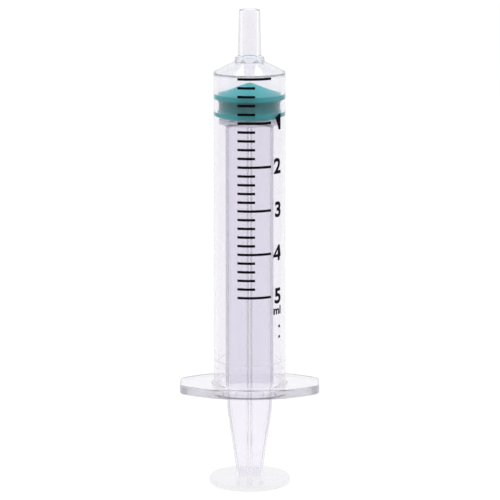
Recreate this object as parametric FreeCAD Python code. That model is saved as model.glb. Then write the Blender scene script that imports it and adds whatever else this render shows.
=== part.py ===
"""A 5 ml luer slip syringe standing on its thumb disc, nozzle up, in millimetres.

Three moulded pieces: the barrel, the plunger rod and the rubber stopper, and the scale
printed on the barrel. +Z runs up the syringe's axis and the finger flange lies along X.
The origin is the centre of the thumb disc's underside.
"""
import FreeCAD, Part
import math
import os

V = FreeCAD.Vector
UP = V(0, 0, 1)
CENTRE = V(0, 0, 0)

# What the syringe measures out
capacity_ml = 5.0
step_ml = 0.2
steps_per_long_mark = 5
reading_ml = 0.426

# Barrel tube
bore_diameter = 12.3
wall_at_shoulder = 0.72
wall_at_flange = 0.85
barrel_length = 62.45
mouth_chamfer = 0.35
mouth_chamfer_height = 0.9

# Shoulder cone, hub and luer nozzle
shoulder_angle = math.radians(25.9)
shoulder_wall = 0.8
shoulder_corner_radius = 0.6
hub_diameter = 5.7
hub_height = 0.85
hub_chamfer = 0.2
nozzle_tip_diameter = 3.99
nozzle_length = 9.05
nozzle_taper = 0.06
nozzle_tip_chamfer = 0.25
nozzle_bore_diameter = 2.4

# Retention bead inside the open end
bead_depth = 0.15
bead_height = 1.7
bead_above_flange = 2.85
bead_lead = 0.35

# Finger flange
flange_length = 27.0
flange_depth = 16.9
flange_thickness = 1.75
flange_side_radius = 20.3
flange_corner_radius = 1.6
flange_edge_chamfer = 0.2
flange_root_radius = 0.8

# Stopper
stopper_fit = 0.03
stopper_stop_gap = 0.1
stopper_height = 4.52
stopper_cone_height = 2.13
stopper_point_radius = 0.5
upper_rib_height = 0.82
upper_rib_slope = 0.7
lower_rib_height = 0.55
lower_rib_slope = 0.45
rib_slope_depth = 0.28
stopper_base_chamfer = 0.5
lip_thickness = 1.2
recess_height = 2.45

# Plunger rod
rod_length = 71.85
blade_clearance = 0.08
blade_thickness = 0.9
blade_foot_width = 6.4
blade_taper_height = 14.9
blade_taper_radius = 12.0
foot_flare = 0.9
web_corner_radius = 0.35
blade_angle = 45.0
thumb_disc_diameter = 15.8
thumb_disc_thickness = 1.1
thumb_disc_edge_radius = 0.35
thumb_disc_base_chamfer = 0.2
head_disc_clearance = 0.15
head_disc_thickness = 1.0
seat_gap = 0.15
neck_diameter = 5.1
neck_fit = 0.05
button_diameter = 7.9
button_chamfer = 0.6
recess_roof_clearance = 0.15

# Printed scale
ink_thickness = 0.04
mark_height = 0.48
mark_start_angle = -19.5
long_mark_end_angle = 36.3
short_mark_end_angle = 8.8

# Heights worked out from the sizes above
bore_radius = bore_diameter / 2
scale_length = capacity_ml * 1000 / (math.pi * bore_radius ** 2)
stopper_bottom = rod_length + seat_gap
stopper_edge = stopper_bottom + stopper_height
zero_line = stopper_edge + scale_length * reading_ml / capacity_ml
bore_top = zero_line + stopper_stop_gap
shoulder_slope = math.tan(shoulder_angle)
cone_wall_height = shoulder_wall / math.cos(shoulder_angle)
shoulder_edge = bore_top + cone_wall_height - wall_at_shoulder * shoulder_slope
barrel_bottom = shoulder_edge - barrel_length
flange_top = barrel_bottom + flange_thickness
shoulder_radius = bore_radius + wall_at_shoulder
flange_end_radius = bore_radius + wall_at_flange
hub_bottom = shoulder_edge + (shoulder_radius - hub_diameter / 2) * shoulder_slope
hub_top = hub_bottom + hub_height
nozzle_tip = hub_top + nozzle_length
nozzle_root_diameter = nozzle_tip_diameter + nozzle_taper * nozzle_length
bead_bottom = flange_top + bead_above_flange
bead_radius = bore_radius - bead_depth


def barrel_radius(height):
    """Outside radius of the tube, which widens towards the flange as the mould draws."""
    share = (shoulder_edge - height) / (shoulder_edge - flange_top)
    return shoulder_radius + (flange_end_radius - shoulder_radius) * share


def corner_arc(before, here, after, radius):
    """Start, middle and end of the arc that rounds the corner at here."""
    to_before = (before - here).normalize()
    to_after = (after - here).normalize()
    half_angle = to_before.getAngle(to_after) / 2
    reach = radius / math.tan(half_angle)
    to_middle = (to_before + to_after).normalize()
    middle = here + to_middle * (radius / math.sin(half_angle) - radius)
    return here + to_before * reach, middle, here + to_after * reach


def outline(corners):
    """Closed wire in the XZ plane; a corner is (x, z), or (x, z, radius) where it is rounded."""
    points = [V(corner[0], 0, corner[1]) for corner in corners]
    edges = []
    runs = []
    for index, corner in enumerate(corners):
        here = points[index]
        if len(corner) == 2:
            runs.append((here, here))
            continue
        after = points[(index + 1) % len(points)]
        start, middle, end = corner_arc(points[index - 1], here, after, corner[2])
        edges.append(Part.Arc(start, middle, end).toShape())
        runs.append((start, end))
    for index, (start, end) in enumerate(runs):
        pen = runs[index - 1][1]
        if (start - pen).Length > 1e-6:
            edges.append(Part.LineSegment(pen, start).toShape())
    return Part.Wire(Part.__sortEdges__(edges))


def revolved(corners, angle=360):
    """Solid of revolution about the syringe's axis."""
    face = Part.Face(outline(corners))
    return face.revolve(CENTRE, UP, angle)


def barrel_outside():
    """Tube, shoulder, hub and nozzle as one full turned form."""
    hub = hub_diameter / 2
    return revolved([
        (0, barrel_bottom),
        (flange_end_radius + flange_root_radius, barrel_bottom),
        (flange_end_radius + flange_root_radius, flange_top),
        (flange_end_radius, flange_top + flange_root_radius),
        (shoulder_radius, shoulder_edge, shoulder_corner_radius),
        (hub, hub_bottom),
        (hub, hub_top - hub_chamfer),
        (hub - hub_chamfer, hub_top),
        (nozzle_root_diameter / 2, hub_top),
        (nozzle_tip_diameter / 2, nozzle_tip - nozzle_tip_chamfer),
        (nozzle_tip_diameter / 2 - nozzle_tip_chamfer, nozzle_tip),
        (0, nozzle_tip),
    ])


def barrel_inside():
    """Everything hollow in the barrel, from the open mouth to the nozzle's tip."""
    overshoot = 1.0
    bead_top = bead_bottom + bead_height
    nozzle_bore = nozzle_bore_diameter / 2
    funnel_top = bore_top + (bore_radius - nozzle_bore) * shoulder_slope
    return revolved([
        (0, barrel_bottom - overshoot),
        (bore_radius + mouth_chamfer, barrel_bottom - overshoot),
        (bore_radius + mouth_chamfer, barrel_bottom),
        (bore_radius, barrel_bottom + mouth_chamfer_height),
        (bore_radius, bead_bottom),
        (bead_radius, bead_bottom + bead_lead),
        (bead_radius, bead_top - bead_lead),
        (bore_radius, bead_top),
        (bore_radius, bore_top),
        (nozzle_bore, funnel_top),
        (nozzle_bore, nozzle_tip + overshoot),
        (0, nozzle_tip + overshoot),
    ])


def finger_flange():
    """Flat wings: a bar with two bowed sides and rounded corners."""
    bar = Part.makeBox(
        flange_length, flange_depth, flange_thickness,
        V(-flange_length / 2, -flange_depth / 2, barrel_bottom))
    bow_centre = flange_side_radius - flange_depth / 2
    for side in (-1, 1):
        bow = Part.makeCylinder(
            flange_side_radius, flange_thickness, V(0, side * bow_centre, barrel_bottom))
        bar = bar.common(bow)
    upright = [edge for edge in bar.Edges if is_upright(edge) and abs(edge.CenterOfMass.x) > 1]
    bar = bar.makeFillet(flange_corner_radius, upright)
    rims = [edge for edge in bar.Edges if not is_upright(edge)]
    return bar.makeChamfer(flange_edge_chamfer, rims)


def is_upright(edge):
    """True for a straight edge along the syringe's axis."""
    ends = [vertex.Point for vertex in edge.Vertexes]
    if len(ends) < 2:
        return False
    along = ends[1] - ends[0]
    return along.Length > 1e-6 and abs(abs(along.z) - along.Length) < 1e-6


def off_axis(edge):
    """How far an edge's middle lies from the syringe's axis."""
    middle = edge.CenterOfMass
    return math.hypot(middle.x, middle.y)


def make_barrel():
    outside = barrel_outside().fuse(finger_flange()).removeSplitter()
    return outside.cut(barrel_inside()).removeSplitter()


def make_stopper():
    """Rubber stopper: conical face, two sealing ribs and the recess that holds the rod."""
    rib = bore_radius - stopper_fit
    groove = rib - rib_slope_depth
    base = stopper_bottom + stopper_base_chamfer
    point = stopper_edge + stopper_cone_height
    body = revolved([
        (0, stopper_bottom),
        (rib - stopper_base_chamfer, stopper_bottom),
        (rib, base),
        (rib, base + lower_rib_height),
        (groove, base + lower_rib_height + lower_rib_slope),
        (groove, stopper_edge - upper_rib_height - upper_rib_slope),
        (rib, stopper_edge - upper_rib_height),
        (rib, stopper_edge),
        (stopper_point_radius, point),
        (0, point),
    ])
    hole = neck_diameter / 2 + neck_fit
    chamber = button_diameter / 2 + neck_fit
    recess_bottom = stopper_bottom + lip_thickness
    recess_top = recess_bottom + recess_height
    recess = revolved([
        (0, stopper_bottom - 1),
        (hole, stopper_bottom - 1),
        (hole, recess_bottom),
        (chamber, recess_bottom),
        (chamber, recess_top - button_chamfer),
        (chamber - button_chamfer, recess_top),
        (0, recess_top),
    ])
    return body.cut(recess)


def rod_blade():
    """One of the two crossed blades, narrowing to the thumb disc with a flared foot."""
    foot = blade_foot_width / 2
    corner_reach = bead_radius - blade_clearance
    full = math.sqrt(corner_reach ** 2 - (blade_thickness / 2) ** 2)
    disc_top = thumb_disc_thickness
    right = [
        (foot + foot_flare, disc_top / 2),
        (foot + foot_flare, disc_top),
        (foot, disc_top, foot_flare),
        (full, disc_top + blade_taper_height, blade_taper_radius),
        (full, rod_length - head_disc_thickness / 2),
    ]
    left = [(-corner[0],) + corner[1:] for corner in reversed(right)]
    face = Part.Face(outline(right + left))
    face.translate(V(0, -blade_thickness / 2, 0))
    return face.extrude(V(0, blade_thickness, 0))


def thumb_disc():
    rim = thumb_disc_diameter / 2
    return revolved([
        (0, 0),
        (rim - thumb_disc_base_chamfer, 0),
        (rim, thumb_disc_base_chamfer),
        (rim, thumb_disc_thickness, thumb_disc_edge_radius),
        (0, thumb_disc_thickness),
    ])


def rod_head():
    """Head disc that pushes the stopper, with the neck and button that the stopper grips."""
    disc = bead_radius - head_disc_clearance
    neck = neck_diameter / 2
    button = button_diameter / 2
    button_bottom = stopper_bottom + lip_thickness + seat_gap
    button_top = stopper_bottom + lip_thickness + recess_height - recess_roof_clearance
    return revolved([
        (0, rod_length - head_disc_thickness),
        (disc, rod_length - head_disc_thickness),
        (disc, rod_length),
        (neck, rod_length),
        (neck, button_bottom),
        (button, button_bottom),
        (button, button_top - button_chamfer),
        (button - button_chamfer, button_top),
        (0, button_top),
    ])


def make_plunger_rod():
    blade = rod_blade()
    crossing = blade.copy()
    crossing.rotate(CENTRE, UP, 90)
    cross = blade.fuse(crossing).removeSplitter()
    corners = [edge for edge in cross.Edges if is_upright(edge) and off_axis(edge) < blade_thickness]
    cross = cross.makeFillet(web_corner_radius, corners)
    cross.rotate(CENTRE, UP, blade_angle)
    return cross.fuse([thumb_disc(), rod_head()]).removeSplitter()


def scale_mark(height, end_angle):
    """One ink line, curved round the tube and following its draft."""
    low = height - mark_height / 2
    high = height + mark_height / 2
    line = [
        (barrel_radius(low), low),
        (barrel_radius(low) + ink_thickness, low),
        (barrel_radius(high) + ink_thickness, high),
        (barrel_radius(high), high),
    ]
    mark = revolved(line, end_angle - mark_start_angle)
    mark.rotate(CENTRE, UP, mark_start_angle - 90)
    return mark


def make_scale():
    """The volume scale: a long mark for each millilitre and short ones between."""
    pitch = scale_length * step_ml / capacity_ml
    marks = []
    for step in range(round(capacity_ml / step_ml) + 1):
        is_long = step % steps_per_long_mark == 0
        end_angle = long_mark_end_angle if is_long else short_mark_end_angle
        marks.append(scale_mark(zero_line - step * pitch, end_angle))
    return Part.makeCompound(marks)


os.makedirs("parts", exist_ok=True)
nodes = {
    "barrel": make_barrel(),
    "stopper": make_stopper(),
    "plunger_rod": make_plunger_rod(),
    "scale_print": make_scale(),
}
for name, shape in nodes.items():
    shape.exportStep("parts/" + name + ".step")
    box = shape.BoundBox
    print(name, "valid", shape.isValid(), "solids", len(shape.Solids),
          "volume", round(shape.Volume, 2), "z", round(box.ZMin, 3), round(box.ZMax, 3))
push_in = zero_line - stopper_edge
pull_out = stopper_bottom - (bead_bottom + bead_height)
print("zero line", round(zero_line, 3), "push in", round(push_in, 3), "pull out", round(pull_out, 3))
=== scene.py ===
import math

import bmesh
import bpy
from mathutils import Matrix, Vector


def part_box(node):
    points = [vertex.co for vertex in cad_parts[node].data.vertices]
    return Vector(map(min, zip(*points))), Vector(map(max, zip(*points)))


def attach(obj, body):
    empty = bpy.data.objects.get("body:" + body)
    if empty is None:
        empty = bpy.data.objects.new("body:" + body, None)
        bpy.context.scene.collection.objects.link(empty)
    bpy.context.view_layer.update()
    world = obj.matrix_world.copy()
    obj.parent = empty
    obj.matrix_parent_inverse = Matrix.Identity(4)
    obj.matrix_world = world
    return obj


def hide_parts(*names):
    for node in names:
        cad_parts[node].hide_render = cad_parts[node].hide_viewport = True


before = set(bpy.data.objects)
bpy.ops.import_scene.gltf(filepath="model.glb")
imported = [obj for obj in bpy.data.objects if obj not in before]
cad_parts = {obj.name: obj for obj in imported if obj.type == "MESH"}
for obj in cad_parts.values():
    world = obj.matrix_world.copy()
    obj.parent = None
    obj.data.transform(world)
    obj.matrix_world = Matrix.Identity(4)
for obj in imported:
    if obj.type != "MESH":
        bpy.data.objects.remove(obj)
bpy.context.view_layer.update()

# A 5 ml luer slip syringe that stands on its thumb disc. Sizes are in millimetres and become
# metres where a mesh is made. An angle round the barrel starts at the front and grows to the right.
MM = 0.001


def box_in_mm(node):
    """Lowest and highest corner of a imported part, in millimetres."""
    low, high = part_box(node)
    return low / MM, high / MM


barrel_low, barrel_high = box_in_mm("barrel")
stopper_low, stopper_high = box_in_mm("stopper")
rod_high = box_in_mm("plunger_rod")[1]
print_low, print_high = box_in_mm("scale_print")

# Barrel: tube, shoulder, hub and nozzle
barrel_length = 62.45
nozzle_length = 9.05
flange_thickness = 1.75
bore_radius = 6.15
shoulder_radius = 6.87
flange_end_radius = 7.0
barrel_bottom = barrel_low.z
nozzle_tip = barrel_high.z
flange_top = barrel_bottom + flange_thickness
shoulder_edge = barrel_bottom + barrel_length
shoulder_slope = math.tan(math.radians(25.9))
shoulder_rounding = 0.4
hub_radius = 2.85
hub_bottom = shoulder_edge + (shoulder_radius - hub_radius) * shoulder_slope
hub_top = nozzle_tip - nozzle_length
nozzle_root_radius = 2.266
nozzle_tip_radius = 1.995
nozzle_bore_radius = 1.2
bore_top = shoulder_edge - 0.54
funnel_top = bore_top + (bore_radius - nozzle_bore_radius) * shoulder_slope
bead_radius = 6.0
bead_bottom = flange_top + 2.85
bead_top = bead_bottom + 1.7
bead_top_lead = 0.12
bead_bottom_lead = 0.75
mouth_radius = 6.5
mouth_depth = 0.9
barrel_columns = 360

# Finger flange
flange_half_length = barrel_high.x
flange_half_depth = barrel_high.y
flange_side_radius = 20.3
flange_corner_radius = 1.6
flange_rounding = 0.3
flange_root_rounding = 0.5

# Plunger rod
blade_reach = 5.903
blade_foot_reach = 3.2
blade_half_thickness = 0.45
blade_edge_rounding = 0.3
web_rounding = 0.4
blade_full_height = 16.0
blade_bend_radius = 12.0
foot_flare = 0.9
foot_rounding = 0.3
head_root_spread = 0.3
thumb_disc_radius = rod_high.x
thumb_disc_thickness = 1.1
head_disc_radius = 5.85
head_disc_top = stopper_low.z - 0.15
head_disc_bottom = head_disc_top - 1.0
neck_radius = 2.55
button_radius = 3.95
button_bottom = stopper_low.z + 1.35
button_top = rod_high.z

# Stopper
rib_radius = bore_radius + 0.015
groove_radius = 5.84
stopper_bottom = stopper_low.z
stopper_point = stopper_high.z
stopper_edge = stopper_bottom + 4.52
upper_rib_foot = stopper_edge - 0.92
groove_top = upper_rib_foot - 0.75
base_chamfer = 0.38
chamfer_top = stopper_bottom + base_chamfer
lower_rib_top = chamfer_top + 0.7
groove_foot = lower_rib_top + 0.45
lip_top = stopper_bottom + 1.2
recess_top = lip_top + 2.45
recess_hole_radius = 2.6
recess_radius = 4.0
cone_waist_radius = 4.5
cone_waist_rise = 0.47
cone_hollow_rounding = 8.0

# Printed scale
line_height = 0.48
ink_thickness = 0.035
ink_depth = 0.01
lines_per_ml = 5
line_count = 26
zero_line = print_high.z - line_height / 2
last_line = print_low.z + line_height / 2
line_start_angle = -19.5
short_line_end_angle = 8.8
long_line_end_angle = 36.3
figure_height = 3.05
figure_right_angle = 58.4
letter_weight = 0.032
unit_height = 1.68
unit_drop = 3.65
dot_size = 0.58
dot_drops = (6.35, 8.4)
dot_right_angle = 57.0


def tube_radius(height):
    """Outside radius of the tube, which widens towards the flange."""
    share = (shoulder_edge - height) / (shoulder_edge - flange_top)
    return shoulder_radius + (flange_end_radius - shoulder_radius) * share


def rounded(corners, hold=0.03, step=math.radians(13)):
    """Points of an outline whose corners are (across, up) or (across, up, rounding).

    A rounding becomes an arc with one more point just past each end, so that the faces beside
    it keep their own shading.
    """
    points = []
    for index, corner in enumerate(corners):
        here = Vector(corner[:2])
        if len(corner) == 2:
            points.append(here)
            continue
        to_before = (Vector(corners[index - 1][:2]) - here).normalized()
        to_after = (Vector(corners[index + 1][:2]) - here).normalized()
        half_angle = to_before.angle(to_after) / 2
        reach = corner[2] / math.tan(half_angle)
        centre = here + (to_before + to_after).normalized() * (corner[2] / math.sin(half_angle))
        start = here + to_before * reach - centre
        end = here + to_after * reach - centre
        turn = math.pi - 2 * half_angle
        steps = max(3, math.ceil(turn / step))
        points.append(here + to_before * (reach + hold))
        for count in range(steps + 1):
            share = count / steps
            before_part = math.sin((1 - share) * turn) / math.sin(turn)
            after_part = math.sin(share * turn) / math.sin(turn)
            points.append(centre + start * before_part + end * after_part)
        points.append(here + to_after * (reach + hold))
    return points


def around(angle, radius, height):
    """Point at this angle from the front."""
    return Vector((radius * math.sin(angle), -radius * math.cos(angle), height))


def ring(radius, height, angles):
    return [around(angle, radius, height) for angle in angles]


def even_angles(count):
    return [math.tau * index / count for index in range(count)]


def piece(name, mesh, material, body):
    """A finished piece of the syringe, smooth but for its sharp edges."""
    mesh.materials.clear()
    mesh.materials.append(material)
    mesh.polygons.foreach_set("use_smooth", [True] * len(mesh.polygons))
    mesh.set_sharp_from_angle(angle=math.radians(38))
    made = bpy.data.objects.new(name, mesh)
    bpy.context.scene.collection.objects.link(made)
    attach(made, body)
    return made


def skin(name, rows, top_pole=None, bottom_pole=None):
    """Closed mesh over rows of points that run down the outside and up the inside.

    Without poles the last row joins the first.
    """
    width = len(rows[0])
    points = [point * MM for row in rows for point in row]
    faces = []
    joins = list(zip(range(len(rows) - 1), range(1, len(rows))))
    if top_pole is None:
        joins.append((len(rows) - 1, 0))
    for upper, lower in joins:
        for column in range(width):
            after = (column + 1) % width
            faces.append((upper * width + column, lower * width + column,
                          lower * width + after, upper * width + after))
    for pole, row, step in ((top_pole, 0, 1), (bottom_pole, len(rows) - 1, -1)):
        if pole is None:
            continue
        points.append(Vector((0, 0, pole)) * MM)
        for column in range(width):
            pair = (row * width + column, row * width + (column + 1) % width)
            faces.append((len(points) - 1,) + pair[::step])
    mesh = bpy.data.meshes.new(name)
    mesh.from_pydata(points, [], faces)
    mesh.validate()
    return mesh


# Finger flange outline
flange_bow_centre = Vector((0, flange_half_depth - flange_side_radius))
flange_corner_x = flange_half_length - flange_corner_radius
flange_corner_reach = flange_side_radius - flange_corner_radius
flange_corner_centre = Vector((
    flange_corner_x,
    flange_bow_centre.y + math.sqrt(flange_corner_reach ** 2 - flange_corner_x ** 2)))
corner_start = math.atan2(flange_corner_centre.y, flange_half_length)
corner_end_point = flange_bow_centre + (flange_corner_centre - flange_bow_centre) * (
    flange_side_radius / flange_corner_reach)
corner_end = math.atan2(corner_end_point.y, corner_end_point.x)


def on_circle(direction, centre, radius):
    """Where a ray from the axis leaves a circle, and the way the circle faces there."""
    along = direction.dot(centre)
    point = direction * (along + math.sqrt(along ** 2 - centre.length_squared + radius ** 2))
    return point, (point - centre) / radius


def flange_edge(angle):
    """Point of the flange's outline at this angle from the front, and the way it faces."""
    direction = Vector((math.sin(angle), -math.cos(angle)))
    quarter = Vector((abs(direction.x), abs(direction.y)))
    slope = math.atan2(quarter.y, quarter.x)
    if slope <= corner_start:
        point = quarter * (flange_half_length / quarter.x)
        facing = Vector((1, 0))
    elif slope < corner_end:
        point, facing = on_circle(quarter, flange_corner_centre, flange_corner_radius)
    else:
        point, facing = on_circle(quarter, flange_bow_centre, flange_side_radius)
    side = Vector((math.copysign(1, direction.x), math.copysign(1, direction.y)))
    return point * side, facing * side


def barrel_angles():
    """Even angles, and finer ones round the flange's four corners."""
    fine = [corner_start + (corner_end - corner_start) * index / 12 for index in range(13)]
    corners = [base + sign * slope
               for base in (math.pi / 2, 3 * math.pi / 2) for sign in (-1, 1) for slope in fine]
    even = [angle for angle in even_angles(barrel_columns)
            if min(abs(angle - corner) for corner in corners) > math.radians(0.4)]
    return sorted(even + corners)


def flange_row(angles, inset, height):
    """The flange's outline moved in by this much."""
    row = []
    for angle in angles:
        point, facing = flange_edge(angle)
        moved = point - facing * inset
        row.append(Vector((moved.x, moved.y, height)))
    return row


def barrel_mesh():
    angles = barrel_angles()
    outside = rounded([
        (nozzle_bore_radius + 0.25, nozzle_tip),
        (nozzle_tip_radius, nozzle_tip, 0.28),
        (nozzle_root_radius, hub_top, 0.12),
        (hub_radius, hub_top, 0.2),
        (hub_radius, hub_bottom, 0.3),
        (shoulder_radius, shoulder_edge, shoulder_rounding),
        (flange_end_radius, flange_top, flange_root_rounding),
        (flange_end_radius + 1.2, flange_top),
    ])
    flange = rounded([
        (0.7, flange_top),
        (0, flange_top, flange_rounding),
        (0, barrel_bottom, flange_rounding),
        (0.7, barrel_bottom),
    ])
    inside = rounded([
        (mouth_radius + 0.5, barrel_bottom),
        (mouth_radius, barrel_bottom, 0.35),
        (bore_radius, barrel_bottom + mouth_depth, 1.2),
        (bore_radius, bead_bottom, 1.8),
        (bead_radius, bead_bottom + bead_bottom_lead, 1.8),
        (bead_radius, bead_top - bead_top_lead, 0.06),
        (bore_radius, bead_top, 0.06),
        (bore_radius, bore_top, 0.45),
        (nozzle_bore_radius, funnel_top, 1.2),
        (nozzle_bore_radius, nozzle_tip, 0.15),
        (nozzle_bore_radius + 0.25, nozzle_tip),
    ])[:-1]
    rows = [ring(point.x, point.y, angles) for point in outside]
    rows += [flange_row(angles, point.x, point.y) for point in flange]
    rows += [ring(point.x, point.y, angles) for point in inside]
    return skin("clear_barrel", rows)


def cross_row(reach, spread, height):
    """Outline of the two crossed blades, each side moved out by spread."""
    half = blade_half_thickness + spread
    end = reach + spread
    hold = 0.04
    arm = []
    web = web_rounding
    for share in (0, 0.25, 0.5, 0.75, 1):
        turn = math.radians(135 - 45 * share)
        arm.append((half + web + web * math.cos(turn), -half - web + web * math.sin(turn)))
    run_start = half + web + hold
    run_end = end - blade_edge_rounding - hold
    for share in (0, 0.25, 0.5, 0.75, 1):
        arm.append((run_start + (run_end - run_start) * share, -half))
    for share in (0, 0.2, 0.4, 0.6, 0.8, 1):
        turn = math.radians(-90 + 90 * share)
        arm.append((end - blade_edge_rounding + blade_edge_rounding * math.cos(turn),
                    -half + blade_edge_rounding + blade_edge_rounding * math.sin(turn)))
    arm.append((end, 0))
    arm += [(along, -across) for along, across in reversed(arm[1:-1])]
    row = []
    for quarter in range(4):
        axis = math.radians(45 + 90 * quarter)
        for along, across in arm:
            row.append(Vector((
                along * math.sin(axis) + across * math.cos(axis),
                -along * math.cos(axis) + across * math.sin(axis),
                height)))
    return row


def quarter_curve(radius, steps):
    """Outward reach and height of a hollow quarter round, from its top to its foot."""
    turns = [math.pi / 2 * index / steps for index in range(steps + 1)]
    return [(radius * (1 - math.cos(turn)), radius * (1 - math.sin(turn))) for turn in turns]


def blade_rows():
    """The crossed blades from the head disc down to the thumb disc."""
    edge = rounded([
        (blade_reach, head_disc_bottom - foot_rounding),
        (blade_reach, blade_full_height, blade_bend_radius),
        (blade_foot_reach, thumb_disc_thickness + foot_flare),
    ], step=math.radians(2))
    rows = [cross_row(blade_reach, head_root_spread * outward, head_disc_bottom - height)
            for outward, height in reversed(quarter_curve(foot_rounding, 4))]
    rows += [cross_row(point.x, 0, point.y) for point in edge]
    for outward, height in quarter_curve(foot_flare, 8):
        spread = 0
        if height < foot_rounding:
            spread = foot_rounding - math.sqrt(foot_rounding ** 2 - (foot_rounding - height) ** 2)
        rows.append(cross_row(
            blade_foot_reach + outward - spread, spread, thumb_disc_thickness + height))
    return rows


def rod_mesh():
    crossed = blade_rows()
    angles = even_angles(len(crossed[0]))
    head = rounded([
        (button_radius - 1.4, button_top),
        (button_radius, button_top, 0.8),
        (button_radius, button_bottom, 0.15),
        (neck_radius, button_bottom, 0.1),
        (neck_radius, head_disc_top, 0.2),
        (head_disc_radius, head_disc_top, 0.2),
        (head_disc_radius, head_disc_bottom, 0.1),
        (head_disc_radius - 0.2, head_disc_bottom),
    ], hold=0.02)[:-1]
    foot = rounded([
        (thumb_disc_radius - 1, thumb_disc_thickness),
        (thumb_disc_radius, thumb_disc_thickness, 0.35),
        (thumb_disc_radius, 0, 0.25),
        (thumb_disc_radius - 1, 0),
    ])
    rows = [ring(point.x, point.y, angles) for point in head]
    rows += crossed
    rows += [ring(point.x, point.y, angles) for point in foot]
    return skin("clear_rod", rows, top_pole=button_top, bottom_pole=0)


def stopper_mesh():
    angles = even_angles(240)
    outline = rounded([
        (0.15, stopper_point - 0.04),
        (0.5, stopper_point - 0.12, 0.6),
        (cone_waist_radius, stopper_edge + cone_waist_rise, cone_hollow_rounding),
        (rib_radius, stopper_edge, 0.05),
        (rib_radius, upper_rib_foot, 0.08),
        (groove_radius, groove_top, 0.2),
        (groove_radius, groove_foot, 0.15),
        (rib_radius, lower_rib_top, 0.06),
        (rib_radius, chamfer_top, 0.08),
        (rib_radius - base_chamfer, stopper_bottom, 0.2),
        (recess_hole_radius, stopper_bottom, 0.2),
        (recess_hole_radius, lip_top, 0.15),
        (recess_radius, lip_top, 0.2),
        (recess_radius, recess_top, 0.6),
        (0.5, recess_top),
    ])
    rows = [ring(point.x, point.y, angles) for point in outline]
    return skin("rubber_stopper", rows, top_pole=stopper_point, bottom_pole=recess_top)


# Geometry nodes for the scale's lines
def new_tree(name, inputs):
    """Geometry node group with named inputs: (name, socket kind, value)."""
    tree = bpy.data.node_groups.new(name, "GeometryNodeTree")
    tree.interface.new_socket("Geometry", in_out="OUTPUT", socket_type="NodeSocketGeometry")
    for label, kind, value in inputs:
        socket = tree.interface.new_socket(label, in_out="INPUT", socket_type=kind)
        if value is not None:
            socket.default_value = value
    return tree, tree.nodes.new("NodeGroupInput"), tree.nodes.new("NodeGroupOutput")


def wire(tree, socket, value):
    """Feeds a socket from another socket, or sets it."""
    if isinstance(value, bpy.types.NodeSocket):
        tree.links.new(value, socket)
    else:
        socket.default_value = value


def calculate(tree, operation, first, second=0.0, third=0.0):
    node = tree.nodes.new("ShaderNodeMath")
    node.operation = operation
    for socket, value in zip(node.inputs, (first, second, third)):
        wire(tree, socket, value)
    return node.outputs[0]


def curved_line_tree():
    """A bar of ink bent round the tube, from one angle to another."""
    tree, given, result = new_tree("Curved ink line", [
        ("Start Angle", "NodeSocketFloat", 0.0),
        ("End Angle", "NodeSocketFloat", 1.0),
        ("Radius", "NodeSocketFloat", 1.0),
        ("Height", "NodeSocketFloat", 1.0),
        ("Thickness", "NodeSocketFloat", 1.0),
        ("Depth", "NodeSocketFloat", 0.0),
    ])
    bar = tree.nodes.new("GeometryNodeMeshCube")
    bar.inputs["Size"].default_value = (1, 1, 1)
    bar.inputs["Vertices X"].default_value = 29
    place = tree.nodes.new("GeometryNodeInputPosition")
    parts = tree.nodes.new("ShaderNodeSeparateXYZ")
    tree.links.new(place.outputs[0], parts.inputs[0])
    share = calculate(tree, "ADD", parts.outputs["X"], 0.5)
    span = calculate(tree, "SUBTRACT", given.outputs["End Angle"], given.outputs["Start Angle"])
    angle = calculate(tree, "MULTIPLY_ADD", share, span, given.outputs["Start Angle"])
    outward = calculate(tree, "SUBTRACT", 0.5, parts.outputs["Y"])
    base = calculate(tree, "SUBTRACT", given.outputs["Radius"], given.outputs["Depth"])
    radius = calculate(tree, "MULTIPLY_ADD", outward, given.outputs["Thickness"], base)
    across = calculate(tree, "MULTIPLY", radius, calculate(tree, "SINE", angle))
    forward = calculate(tree, "MULTIPLY", radius, calculate(tree, "COSINE", angle))
    point = tree.nodes.new("ShaderNodeCombineXYZ")
    wire(tree, point.inputs["X"], across)
    wire(tree, point.inputs["Y"], calculate(tree, "MULTIPLY", forward, -1.0))
    rise = calculate(tree, "MULTIPLY", parts.outputs["Z"], given.outputs["Height"])
    wire(tree, point.inputs["Z"], rise)
    bend = tree.nodes.new("GeometryNodeSetPosition")
    tree.links.new(bar.outputs["Mesh"], bend.inputs["Geometry"])
    tree.links.new(point.outputs[0], bend.inputs["Position"])
    tree.links.new(bend.outputs["Geometry"], result.inputs[0])
    return tree


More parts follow.
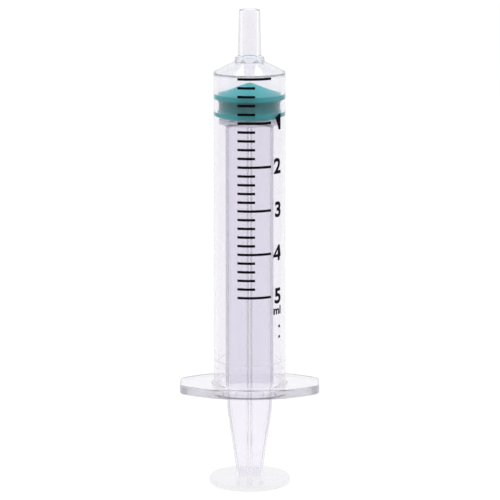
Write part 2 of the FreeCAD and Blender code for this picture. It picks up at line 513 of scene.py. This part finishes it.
def scale_tree():
    """A long line for each millilitre with short ones between, stepped down the tube."""
    tree, given, result = new_tree("Volume scale", [
        ("Lines", "NodeSocketInt", 26),
        ("Lines per Long One", "NodeSocketInt", 5),
        ("Zero Height", "NodeSocketFloat", 0.0),
        ("Pitch", "NodeSocketFloat", 0.0),
        ("Start Angle", "NodeSocketFloat", 0.0),
        ("Short End Angle", "NodeSocketFloat", 0.0),
        ("Long End Angle", "NodeSocketFloat", 0.0),
        ("Line Height", "NodeSocketFloat", 0.0),
        ("Ink Thickness", "NodeSocketFloat", 0.0),
        ("Ink Depth", "NodeSocketFloat", 0.0),
        ("Zero Radius", "NodeSocketFloat", 1.0),
        ("Last Radius", "NodeSocketFloat", 1.0),
        ("Ink", "NodeSocketMaterial", None),
    ])
    curved_line = curved_line_tree()

    steps = tree.nodes.new("GeometryNodeMeshLine")
    start = tree.nodes.new("ShaderNodeCombineXYZ")
    wire(tree, start.inputs["Z"], given.outputs["Zero Height"])
    offset = tree.nodes.new("ShaderNodeCombineXYZ")
    wire(tree, offset.inputs["Z"], calculate(tree, "MULTIPLY", given.outputs["Pitch"], -1.0))
    wire(tree, steps.inputs["Count"], given.outputs["Lines"])
    wire(tree, steps.inputs["Start Location"], start.outputs[0])
    wire(tree, steps.inputs["Offset"], offset.outputs[0])

    number = tree.nodes.new("GeometryNodeInputIndex").outputs[0]
    remainder = calculate(tree, "MODULO", number, given.outputs["Lines per Long One"])
    is_long = calculate(tree, "LESS_THAN", remainder, 0.5)
    is_short = calculate(tree, "SUBTRACT", 1.0, is_long)
    last = calculate(tree, "SUBTRACT", given.outputs["Lines"], 1.0)
    growth = calculate(tree, "DIVIDE", given.outputs["Last Radius"], given.outputs["Zero Radius"])
    share = calculate(tree, "DIVIDE", number, last)
    wider = calculate(tree, "MULTIPLY_ADD", share, calculate(tree, "SUBTRACT", growth, 1.0), 1.0)
    size = tree.nodes.new("ShaderNodeCombineXYZ")
    wire(tree, size.inputs["X"], wider)
    wire(tree, size.inputs["Y"], wider)
    wire(tree, size.inputs["Z"], 1.0)

    joined = tree.nodes.new("GeometryNodeJoinGeometry")
    for chosen, end_angle in ((is_long, "Long End Angle"), (is_short, "Short End Angle")):
        line = tree.nodes.new("GeometryNodeGroup")
        line.node_tree = curved_line
        wire(tree, line.inputs["Start Angle"], given.outputs["Start Angle"])
        wire(tree, line.inputs["End Angle"], given.outputs[end_angle])
        wire(tree, line.inputs["Radius"], given.outputs["Zero Radius"])
        wire(tree, line.inputs["Height"], given.outputs["Line Height"])
        wire(tree, line.inputs["Thickness"], given.outputs["Ink Thickness"])
        wire(tree, line.inputs["Depth"], given.outputs["Ink Depth"])
        printed = tree.nodes.new("GeometryNodeInstanceOnPoints")
        wire(tree, printed.inputs["Points"], steps.outputs["Mesh"])
        wire(tree, printed.inputs["Selection"], chosen)
        wire(tree, printed.inputs["Instance"], line.outputs[0])
        wire(tree, printed.inputs["Scale"], size.outputs[0])
        tree.links.new(printed.outputs[0], joined.inputs[0])
    real = tree.nodes.new("GeometryNodeRealizeInstances")
    tree.links.new(joined.outputs[0], real.inputs[0])
    coloured = tree.nodes.new("GeometryNodeSetMaterial")
    tree.links.new(real.outputs[0], coloured.inputs["Geometry"])
    wire(tree, coloured.inputs["Material"], given.outputs["Ink"])
    tree.links.new(coloured.outputs[0], result.inputs[0])
    return tree


def scale_lines_mesh(ink):
    """Plain mesh of the scale's lines."""
    tree = scale_tree()
    blank = bpy.data.meshes.new("scale_lines_carrier")
    carrier = bpy.data.objects.new("scale_lines_carrier", blank)
    bpy.context.scene.collection.objects.link(carrier)
    modifier = carrier.modifiers.new("Volume scale", "NODES")
    modifier.node_group = tree
    values = {
        "Lines": line_count,
        "Lines per Long One": lines_per_ml,
        "Zero Height": zero_line * MM,
        "Pitch": (zero_line - last_line) / (line_count - 1) * MM,
        "Start Angle": math.radians(line_start_angle),
        "Short End Angle": math.radians(short_line_end_angle),
        "Long End Angle": math.radians(long_line_end_angle),
        "Line Height": line_height * MM,
        "Ink Thickness": ink_thickness * MM,
        "Ink Depth": ink_depth * MM,
        "Zero Radius": tube_radius(zero_line) * MM,
        "Last Radius": tube_radius(last_line) * MM,
        "Ink": ink,
    }
    for item in tree.interface.items_tree:
        if item.in_out == "INPUT":
            modifier[item.identifier] = values[item.name]
    bpy.context.view_layer.update()
    seen = carrier.evaluated_get(bpy.context.evaluated_depsgraph_get())
    mesh = bpy.data.meshes.new_from_object(seen)
    carrier.modifiers.remove(modifier)
    bpy.data.objects.remove(carrier)
    return mesh


# Figures of the scale
def letter_shape(body, height):
    """Flat mesh of a bold figure or word, its foot at zero and its right end at zero."""
    curve = bpy.data.curves.new("figure", "FONT")
    curve.body = body
    curve.offset = letter_weight
    carrier = bpy.data.objects.new("figure", curve)
    bpy.context.scene.collection.objects.link(carrier)
    bpy.context.view_layer.update()
    seen = carrier.evaluated_get(bpy.context.evaluated_depsgraph_get())
    mesh = bpy.data.meshes.new_from_object(seen)
    bpy.data.objects.remove(carrier)
    shape = bmesh.new()
    shape.from_mesh(mesh)
    fit_shape(shape, height)
    return shape


def drawn_figure(height, corners, loops):
    """Flat figure from its own corners and the loops of them that bound its faces."""
    shape = bmesh.new()
    points = [shape.verts.new((across, up, 0)) for across, up in corners]
    for loop in loops:
        shape.faces.new([points[index] for index in loop])
    bmesh.ops.triangulate(shape, faces=shape.faces)
    fit_shape(shape, height)
    return shape


def figure_one(height):
    """The figure 1: a stem with a flag at its top left."""
    corners = [(0.36, 0), (0.56, 0), (0.56, 1), (0.40, 1), (0.03, 0.78), (0.11, 0.64), (0.36, 0.78)]
    return drawn_figure(height, corners, [range(7)])


def figure_four(height):
    """The figure 4, whose last three corners are its open middle."""
    corners = [(0.40, 0), (0.60, 0), (0.60, 0.22), (0.70, 0.22), (0.70, 0.40), (0.60, 0.40),
               (0.60, 1), (0.45, 1), (0, 0.36), (0, 0.22), (0.40, 0.22),
               (0.40, 0.40), (0.40, 0.70), (0.19, 0.40)]
    right_half = (10, 0, 1, 2, 3, 4, 5, 6, 7, 12, 11)
    left_half = (7, 8, 9, 10, 11, 13, 12)
    return drawn_figure(height, corners, [right_half, left_half])


def dot_shape(size):
    shape = bmesh.new()
    bmesh.ops.create_circle(shape, cap_ends=True, segments=20, radius=size / 2)
    fit_shape(shape, size)
    return shape


def fit_shape(shape, height):
    """Scales a flat shape to this height, with its foot and its right end at zero."""
    bmesh.ops.remove_doubles(shape, verts=shape.verts, dist=1e-5)
    low = min(vertex.co.y for vertex in shape.verts)
    high = max(vertex.co.y for vertex in shape.verts)
    right = max(vertex.co.x for vertex in shape.verts)
    for vertex in shape.verts:
        vertex.co = (vertex.co - Vector((right, low, 0))) * (height / (high - low))


def wrap_on_tube(shape, right_angle, foot):
    """Gives a flat shape the ink's thickness and bends it round the tube."""
    left = min(vertex.co.x for vertex in shape.verts)
    slice_width = 0.25
    for index in range(1, math.ceil(-left / slice_width)):
        bmesh.ops.bisect_plane(
            shape, geom=shape.verts[:] + shape.edges[:] + shape.faces[:],
            plane_co=(-index * slice_width, 0, 0), plane_no=(1, 0, 0), dist=1e-6)
    raised = bmesh.ops.extrude_face_region(shape, geom=shape.faces[:])
    for item in raised["geom"]:
        if isinstance(item, bmesh.types.BMVert):
            item.co.z += ink_thickness
    for vertex in shape.verts:
        height = foot + vertex.co.y
        radius = tube_radius(height)
        angle = math.radians(right_angle) + vertex.co.x / radius
        vertex.co = around(angle, radius - ink_depth + vertex.co.z, height) * MM
    bmesh.ops.recalc_face_normals(shape, faces=shape.faces)


def scale_figures_mesh():
    """The millilitre figures beside their lines, the unit and the two dots below it."""
    ml_height = (zero_line - last_line) / (line_count - 1) * lines_per_ml
    drawn = {1: figure_one, 4: figure_four}
    shapes = []
    for value in range(1, 6):
        if value in drawn:
            shape = drawn[value](figure_height)
        else:
            shape = letter_shape(str(value), figure_height)
        foot = zero_line - value * ml_height - figure_height / 2
        shapes.append((shape, figure_right_angle, foot))
    shapes.append((letter_shape("ml", unit_height), figure_right_angle, last_line - unit_drop))
    for drop in dot_drops:
        shapes.append((dot_shape(dot_size), dot_right_angle, last_line - drop))
    whole = bmesh.new()
    for shape, right_angle, foot in shapes:
        wrap_on_tube(shape, right_angle, foot)
        part = bpy.data.meshes.new("figure")
        shape.to_mesh(part)
        whole.from_mesh(part)
        bpy.data.meshes.remove(part)
        shape.free()
    mesh = bpy.data.meshes.new("scale_figures")
    whole.to_mesh(mesh)
    whole.free()
    return mesh


# Materials
def new_material(name):
    material = bpy.data.materials.new(name)
    material.use_nodes = True
    tree = material.node_tree
    return material, tree, tree.nodes["Principled BSDF"]


def moulding_group():
    """Faint unevenness of a moulded surface, as a bumped normal and a roughness."""
    tree = bpy.data.node_groups.new("Moulded surface", "ShaderNodeTree")
    for label, kind, value in (
            ("Waves per Metre", "NodeSocketFloat", 300.0),
            ("Wave Height", "NodeSocketFloat", 0.00001),
            ("Roughness", "NodeSocketFloat", 0.03),
            ("Roughness Spread", "NodeSocketFloat", 0.01)):
        tree.interface.new_socket(label, in_out="INPUT", socket_type=kind).default_value = value
    tree.interface.new_socket("Normal", in_out="OUTPUT", socket_type="NodeSocketVector")
    tree.interface.new_socket("Roughness", in_out="OUTPUT", socket_type="NodeSocketFloat")
    given = tree.nodes.new("NodeGroupInput")
    result = tree.nodes.new("NodeGroupOutput")
    place = tree.nodes.new("ShaderNodeTexCoord")
    waves = tree.nodes.new("ShaderNodeTexNoise")
    tree.links.new(place.outputs["Object"], waves.inputs["Vector"])
    wire(tree, waves.inputs["Scale"], given.outputs["Waves per Metre"])
    waves.inputs["Detail"].default_value = 1.0
    bump = tree.nodes.new("ShaderNodeBump")
    tree.links.new(waves.outputs["Fac"], bump.inputs["Height"])
    wire(tree, bump.inputs["Distance"], given.outputs["Wave Height"])
    centred = calculate(tree, "SUBTRACT", waves.outputs["Fac"], 0.5)
    rough = calculate(tree, "MULTIPLY_ADD", centred, given.outputs["Roughness Spread"],
                      given.outputs["Roughness"])
    tree.links.new(bump.outputs["Normal"], result.inputs["Normal"])
    tree.links.new(rough, result.inputs["Roughness"])
    return tree


def use_moulding(tree, surface, group, waves, height, roughness, spread):
    """Feeds a material's normal and roughness from the moulded surface group."""
    node = tree.nodes.new("ShaderNodeGroup")
    node.node_tree = group
    node.inputs["Waves per Metre"].default_value = waves
    node.inputs["Wave Height"].default_value = height
    node.inputs["Roughness"].default_value = roughness
    node.inputs["Roughness Spread"].default_value = spread
    tree.links.new(node.outputs["Normal"], surface.inputs["Normal"])
    tree.links.new(node.outputs["Roughness"], surface.inputs["Roughness"])


def clear_plastic(name, group, tint, roughness, cloudiness):
    """Polypropylene: each face tints the light, and the thickness clouds it, mostly forwards."""
    material, tree, surface = new_material(name)
    surface.inputs["Base Color"].default_value = tint
    surface.inputs["Transmission Weight"].default_value = 1.0
    surface.inputs["IOR"].default_value = 1.49
    use_moulding(tree, surface, group, 250.0, 0.000004, roughness, 0.02)
    depth = tree.nodes.new("ShaderNodeVolumeAbsorption")
    depth.inputs["Density"].default_value = depth_density
    depth.inputs["Color"].default_value = depth_colour
    haze = tree.nodes.new("ShaderNodeVolumeScatter")
    haze.inputs["Density"].default_value = cloudiness
    haze.inputs["Anisotropy"].default_value = forward_haze
    haze.inputs["Color"].default_value = (1, 1, 1, 1)
    both = tree.nodes.new("ShaderNodeAddShader")
    tree.links.new(depth.outputs["Volume"], both.inputs[0])
    tree.links.new(haze.outputs["Volume"], both.inputs[1])
    tree.links.new(both.outputs["Shader"], tree.nodes["Material Output"].inputs["Volume"])
    return material


def teal_rubber(group):
    """Stopper rubber: teal, with painted shade in the groove and a painted highlight on the foot.
    """
    material, tree, surface = new_material("teal_rubber")
    place = tree.nodes.new("ShaderNodeTexCoord")
    parts = tree.nodes.new("ShaderNodeSeparateXYZ")
    tree.links.new(place.outputs["Object"], parts.inputs[0])
    rise = tree.nodes.new("ShaderNodeMapRange")
    tree.links.new(parts.outputs["Z"], rise.inputs["Value"])
    rise.inputs["From Min"].default_value = stopper_bottom * MM
    rise.inputs["From Max"].default_value = stopper_point * MM
    # The ramp paints light and shade by height: painted shade in the groove, a painted highlight on
    # the foot.
    shades = tree.nodes.new("ShaderNodeValToRGB")
    tree.links.new(rise.outputs["Result"], shades.inputs["Fac"])
    tree.links.new(shades.outputs["Color"], surface.inputs["Base Color"])
    stops = shades.color_ramp.elements
    stops.remove(stops[1])
    stops[0].color = foot_painted_highlight
    for height, share in teal_painted_light_and_shade:
        stop = stops.new((height - stopper_bottom) / (stopper_point - stopper_bottom))
        stop.color = [channel * share for channel in teal[:3]] + [1]
    surface.inputs["Specular IOR Level"].default_value = 0.25
    use_moulding(tree, surface, group, 900.0, 0.00001, 0.4, 0.1)
    return material


def black_ink(group):
    material, tree, surface = new_material("black_ink")
    surface.inputs["Base Color"].default_value = ink_colour
    surface.inputs["Specular IOR Level"].default_value = 0.04
    use_moulding(tree, surface, group, 1500.0, 0.000004, 0.7, 0.1)
    return material


# Stage
def backdrop_light(tree, heading):
    """What the backdrop sends to gloss and glass: white behind, dimmer beside and in front.

    Plain sight gets white all round, and gloss gets a front that is dimmer still. Also returns
    1 for all such rays and 0 for the light that falls on the pieces.
    """
    path = tree.nodes.new("ShaderNodeLightPath")
    sight = calculate(tree, "LESS_THAN", path.outputs["Diffuse Depth"], 0.5)
    unit = tree.nodes.new("ShaderNodeVectorMath")
    unit.operation = "NORMALIZE"
    tree.links.new(heading, unit.inputs[0])
    parts = tree.nodes.new("ShaderNodeSeparateXYZ")
    tree.links.new(unit.outputs[0], parts.inputs[0])
    fade = tree.nodes.new("ShaderNodeValToRGB")
    front_to_back = calculate(tree, "MULTIPLY_ADD", parts.outputs["Y"], 0.5, 0.5)
    tree.links.new(front_to_back, fade.inputs["Fac"])
    stops = fade.color_ramp.elements
    stops[0].position = front_share
    stops[1].position = back_share
    stops.new(side_share)
    for stop, value in zip(stops, (front_backdrop, side_backdrop, 1.0)):
        stop.color = (value, value, value, 1)
    dimness = calculate(tree, "SUBTRACT", 1.0, fade.outputs["Color"])
    dulled = calculate(tree, "MULTIPLY", path.outputs["Is Glossy Ray"], gloss_dulling)
    beside = calculate(tree, "MULTIPLY_ADD", dulled, dimness, fade.outputs["Color"])
    level = calculate(tree, "MAXIMUM", path.outputs["Is Camera Ray"], beside)
    return calculate(tree, "MULTIPLY", sight, level), sight


def lay_floor():
    """Pale floor that reads white and keeps a soft shadow, always just under the thumb disc."""
    bpy.ops.mesh.primitive_plane_add(size=6.0)
    floor = bpy.context.active_object
    floor.name = "floor"
    material, tree, surface = new_material("pale_floor")
    place = tree.nodes.new("ShaderNodeNewGeometry")
    flat = tree.nodes.new("ShaderNodeVectorMath")
    flat.operation = "MULTIPLY_ADD"
    tree.links.new(place.outputs["Position"], flat.inputs[0])
    flat.inputs[1].default_value = (1, 1, 0)
    flat.inputs[2].default_value = floor_heading_shift
    level, sight = backdrop_light(tree, flat.outputs[0])
    shade = tree.nodes.new("ShaderNodeMix")
    shade.data_type = "RGBA"
    tree.links.new(sight, shade.inputs["Factor"])
    shade.inputs["A"].default_value = (floor_bounce, floor_bounce, floor_bounce, 1)
    shade.inputs["B"].default_value = (floor_shadow, floor_shadow, floor_shadow, 1)
    tree.links.new(shade.outputs["Result"], surface.inputs["Base Color"])
    surface.inputs["Roughness"].default_value = 0.9
    surface.inputs["Specular IOR Level"].default_value = 0.0
    surface.inputs["Emission Color"].default_value = (1, 1, 1, 1)
    glow = calculate(tree, "MULTIPLY", level, floor_glow)
    tree.links.new(glow, surface.inputs["Emission Strength"])
    floor.data.materials.append(material)
    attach(floor, "rod_body")


def light_world():
    """White backdrop to the eye, and a soft studio that is brightest above and behind."""
    world = bpy.data.worlds.new("studio")
    bpy.context.scene.world = world
    world.use_nodes = True
    tree = world.node_tree
    light = tree.nodes["Background"]
    toward = tree.nodes.new("ShaderNodeTexCoord")
    rise = tree.nodes.new("ShaderNodeVectorMath")
    rise.operation = "DOT_PRODUCT"
    tree.links.new(toward.outputs["Generated"], rise.inputs[0])
    rise.inputs[1].default_value = brightest_way
    soft = tree.nodes.new("ShaderNodeMapRange")
    soft.interpolation_type = "SMOOTHSTEP"
    tree.links.new(rise.outputs["Value"], soft.inputs["Value"])
    soft.inputs["From Min"].default_value = -0.3
    soft.inputs["From Max"].default_value = 1.0
    soft.inputs["To Min"].default_value = front_light
    soft.inputs["To Max"].default_value = back_light
    level, sight = backdrop_light(tree, toward.outputs["Generated"])
    unseen = calculate(tree, "SUBTRACT", 1.0, sight)
    strength = calculate(tree, "MULTIPLY_ADD", unseen, soft.outputs["Result"], level)
    light.inputs["Color"].default_value = (1, 1, 1, 1)
    tree.links.new(strength, light.inputs["Strength"])


def softbox(name, place, size, power):
    """Area lamp that faces the middle of the syringe."""
    lamp = bpy.data.lights.new(name, "AREA")
    lamp.shape = "RECTANGLE"
    lamp.size, lamp.size_y = size
    lamp.energy = power
    made = bpy.data.objects.new(name, lamp)
    bpy.context.scene.collection.objects.link(made)
    made.location = place
    aim = syringe_middle - Vector(place)
    made.rotation_euler = aim.to_track_quat("-Z", "Y").to_euler()
    made.visible_camera = False
    made.visible_transmission = False


def place_camera():
    """Camera at the photograph's viewing angle."""
    camera = bpy.data.cameras.new("camera")
    camera.sensor_width = 36.0
    camera.lens = camera_lens
    camera.clip_start = 0.05
    camera.clip_end = 20.0
    made = bpy.data.objects.new("camera", camera)
    bpy.context.scene.collection.objects.link(made)
    back = Vector((0, -math.cos(camera_tilt), math.sin(camera_tilt)))
    made.location = camera_target + back * camera_distance
    made.rotation_euler = (-back).to_track_quat("-Z", "Y").to_euler()
    bpy.context.scene.camera = made


# Finishes
barrel_tint = (0.97, 0.957, 0.99, 1)
rod_tint = (0.955, 0.942, 0.98, 1)
barrel_roughness = 0.07
rod_roughness = 0.08
depth_density = 18.0
depth_colour = (0.7, 0.66, 0.85, 1)
ink_colour = (0.0025, 0.002, 0.005, 1)
teal = (0.06, 0.52, 0.54, 1)
# Painted highlight on the stopper's foot and chamfer, where light from below falls.
foot_painted_highlight = (0.5, 0.75, 0.8, 1)
# Shares of the teal by height: painted shade in the groove under the upper rib, and a painted
# highlight just above the foot.
teal_painted_light_and_shade = [
    (stopper_bottom + 0.3, 1.3),
    (chamfer_top, 0.95),
    (lower_rib_top, 0.95),
    (groove_foot, 0.6),
    (groove_top, 0.39),
    (upper_rib_foot - 0.05, 0.5),
    (upper_rib_foot + 0.05, 0.85),
    (stopper_edge, 1.0),
]
barrel_haze = 80.0
rod_haze = 40.0
forward_haze = 0.85

# Studio. A share of the way round the backdrop runs from 0 in front to 1 behind.
floor_glow = 0.92
floor_shadow = 0.06
floor_bounce = 0.45
floor_heading_shift = (0, 0.05, 0)
front_backdrop = 0.7
side_backdrop = 0.88
front_share = 0.2
side_share = 0.6
back_share = 0.95
gloss_dulling = -1.1
front_light = 0.05
back_light = 2.0
brightest_way = (0, 0.1, 0.995)
syringe_middle = Vector((0, 0, 0.045))
camera_lens = 208.4
camera_tilt = math.radians(11.09)
camera_distance = 0.55816
camera_target = Vector((0.000085, 0, 0.04607))

moulding = moulding_group()
barrel_plastic = clear_plastic(
    "clear_barrel", moulding, barrel_tint, barrel_roughness, barrel_haze)
rod_plastic = clear_plastic("clear_rod", moulding, rod_tint, rod_roughness, rod_haze)
rubber = teal_rubber(moulding)
ink = black_ink(moulding)

barrel = piece("barrel_dressed", barrel_mesh(), barrel_plastic, "barrel_body")
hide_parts("barrel")
rod = piece("rod_dressed", rod_mesh(), rod_plastic, "rod_body")
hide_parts("plunger_rod")
stopper = piece("stopper_dressed", stopper_mesh(), rubber, "stopper_body")
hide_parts("stopper")
lines = piece("scale_lines", scale_lines_mesh(ink), ink, "barrel_body")
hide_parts("scale_print")
piece("scale_figures", scale_figures_mesh(), ink, "barrel_body")

lay_floor()
light_world()
softbox("left_softbox", (-0.5, -0.05, 0.25), (0.4, 0.6), 0.9)
softbox("right_softbox", (0.5, -0.05, 0.25), (0.4, 0.6), 0.9)
softbox("top_softbox", (0, 0.15, 0.6), (0.6, 0.4), 2.0)
place_camera()

scene = bpy.context.scene
scene.view_settings.view_transform = "Standard"
scene.cycles.max_bounces = 32
scene.cycles.transmission_bounces = 32
scene.cycles.glossy_bounces = 32
scene.cycles.volume_bounces = 16
